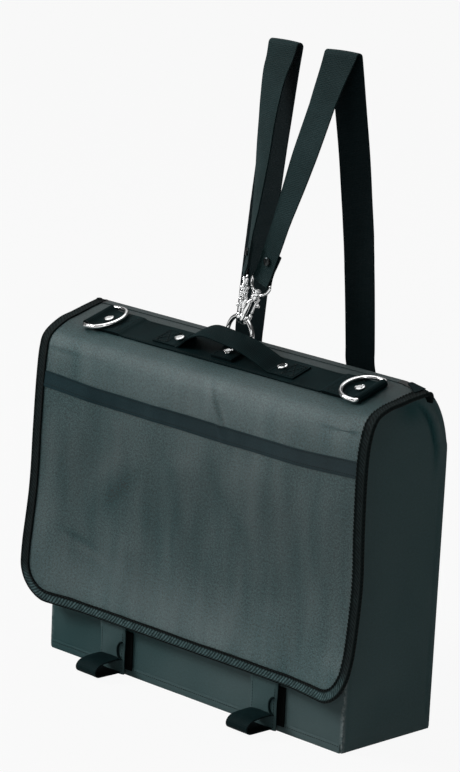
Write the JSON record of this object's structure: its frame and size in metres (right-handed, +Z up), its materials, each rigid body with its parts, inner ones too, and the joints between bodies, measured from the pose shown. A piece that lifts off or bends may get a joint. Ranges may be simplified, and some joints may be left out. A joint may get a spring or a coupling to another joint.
{
  "type": "music stand bag",
  "caption": "Cloth satchel for folding music stands, with a bound flap, D-rings, a webbing handle and shoulder straps on snap hooks.",
  "frame": {"origin": "middle of the flat bottom, on the surface that the bag stands on", "axes": "+Z up, the flap's front faces -Y, +X on the right of someone who looks at the front"},
  "size_m": [0.4866, 0.1844, 0.6908],
  "materials": {
    "cloth": "coated woven nylon, grey-green",
    "side_cloth": "coated woven nylon, darker grey-green",
    "band_cloth": "dense woven cloth, blue-grey",
    "webbing": "woven webbing, near black",
    "tape": "ribbed binding tape, near black",
    "board": "matte",
    "chrome": "polished nickel plate"
  },
  "bodies": {
    "bag_body": {"front_panel": "cloth", "rear_panel": "side_cloth", "left_gusset": "side_cloth", "right_gusset": "side_cloth", "bottom_panel": "side_cloth", "base_board": "board", "closure_pad_left": "webbing", "strap_lower_left": "webbing", "strap_slider_left": "chrome", "anchor_patch_left": "side_cloth", "closure_pad_right": "webbing", "strap_lower_right": "webbing", "strap_slider_right": "chrome", "anchor_patch_right": "side_cloth"},
    "flap_top": {"flap_top_panel": "cloth", "top_binding_left": "tape", "top_binding_right": "tape", "top_strip": "webbing", "carry_handle": "webbing", "ring_tab": "webbing", "rivet_ring_tab": "chrome", "centre_ring": "chrome", "rivet_d_ring_left": "chrome", "handle_end_left": "webbing", "rivet_handle_left": "chrome", "hook_eye_left": "chrome", "strap_front_left": "webbing", "rivet_strap_left": "chrome", "strap_rear_left": "webbing", "rivet_d_ring_right": "chrome", "handle_end_right": "webbing", "rivet_handle_right": "chrome", "hook_eye_right": "chrome", "strap_front_right": "webbing", "rivet_strap_right": "chrome", "strap_rear_right": "webbing"},
    "flap_front": {"flap_front_panel": "cloth", "front_binding": "tape", "flap_band": "band_cloth"},
    "closure_left": {"closure_tab_left": "cloth", "tab_fastener_left": "webbing", "grip_loop_left": "webbing", "keeper_left": "webbing"},
    "ring_left": {"d_ring_left": "chrome"},
    "hook_left": {"hook_body_left": "chrome"},
    "gate_left": {"hook_gate_left": "chrome"},
    "closure_right": {"closure_tab_right": "cloth", "tab_fastener_right": "webbing", "grip_loop_right": "webbing", "keeper_right": "webbing"},
    "ring_right": {"d_ring_right": "chrome"},
    "hook_right": {"hook_body_right": "chrome"},
    "gate_right": {"hook_gate_right": "chrome"}
  },
  "joints": [
    {"name": "flap_lift", "type": "hinge", "parent": "bag_body", "child": "flap_top", "pos_m": [0, 0.012, 0.371], "axis": [-1, 0, 0], "range_deg": [0, 95]},
    {"name": "flap_fold", "type": "hinge", "parent": "flap_top", "child": "flap_front", "pos_m": [0, -0.073, 0.334], "axis": [-1, 0, 0], "range_deg": [0, 90]},
    {"name": "closure_left_peel", "type": "hinge", "parent": "flap_front", "child": "closure_left", "pos_m": [-0.114, -0.07736, 0.05623], "axis": [-1, 0, 0], "range_deg": [0, 80]},
    {"name": "closure_right_peel", "type": "hinge", "parent": "flap_front", "child": "closure_right", "pos_m": [0.114, -0.07736, 0.05623], "axis": [-1, 0, 0], "range_deg": [0, 80]},
    {"name": "d_ring_left_turn", "type": "hinge", "parent": "flap_top", "child": "ring_left", "pos_m": [-0.2, -0.02788, 0.36822], "axis": [0, -0.9563, -0.2924], "range_deg": [0, 150]},
    {"name": "d_ring_right_turn", "type": "hinge", "parent": "flap_top", "child": "ring_right", "pos_m": [0.2, -0.02788, 0.36822], "axis": [0, 0.9563, 0.2924], "range_deg": [0, 150]},
    {"name": "hook_left_swivel", "type": "hinge", "parent": "flap_top", "child": "hook_left", "pos_m": [0.00007, -0.015, 0.40671], "axis": [0.0523, 0.0697, 0.9962], "range_deg": [-6, 6]},
    {"name": "hook_left_gate", "type": "hinge", "parent": "hook_left", "child": "gate_left", "pos_m": [0.00377, -0.01962, 0.42511], "axis": [0.9051, 0.4183, -0.0768], "range_deg": [0, 28], "stiffness_Nm_per_rad": 0.01, "springref_deg": -17.19},
    {"name": "hook_right_swivel", "type": "hinge", "parent": "flap_top", "child": "hook_right", "pos_m": [0.00798, -0.01492, 0.40468], "axis": [0.342, 0.1308, 0.9305], "range_deg": [-6, 6]},
    {"name": "hook_right_gate", "type": "hinge", "parent": "hook_right", "child": "gate_right", "pos_m": [0.01325, -0.00613, 0.42107], "axis": [-0.9281, -0.1079, 0.3563], "range_deg": [0, 28], "stiffness_Nm_per_rad": 0.01, "springref_deg": -17.19}
  ]
}
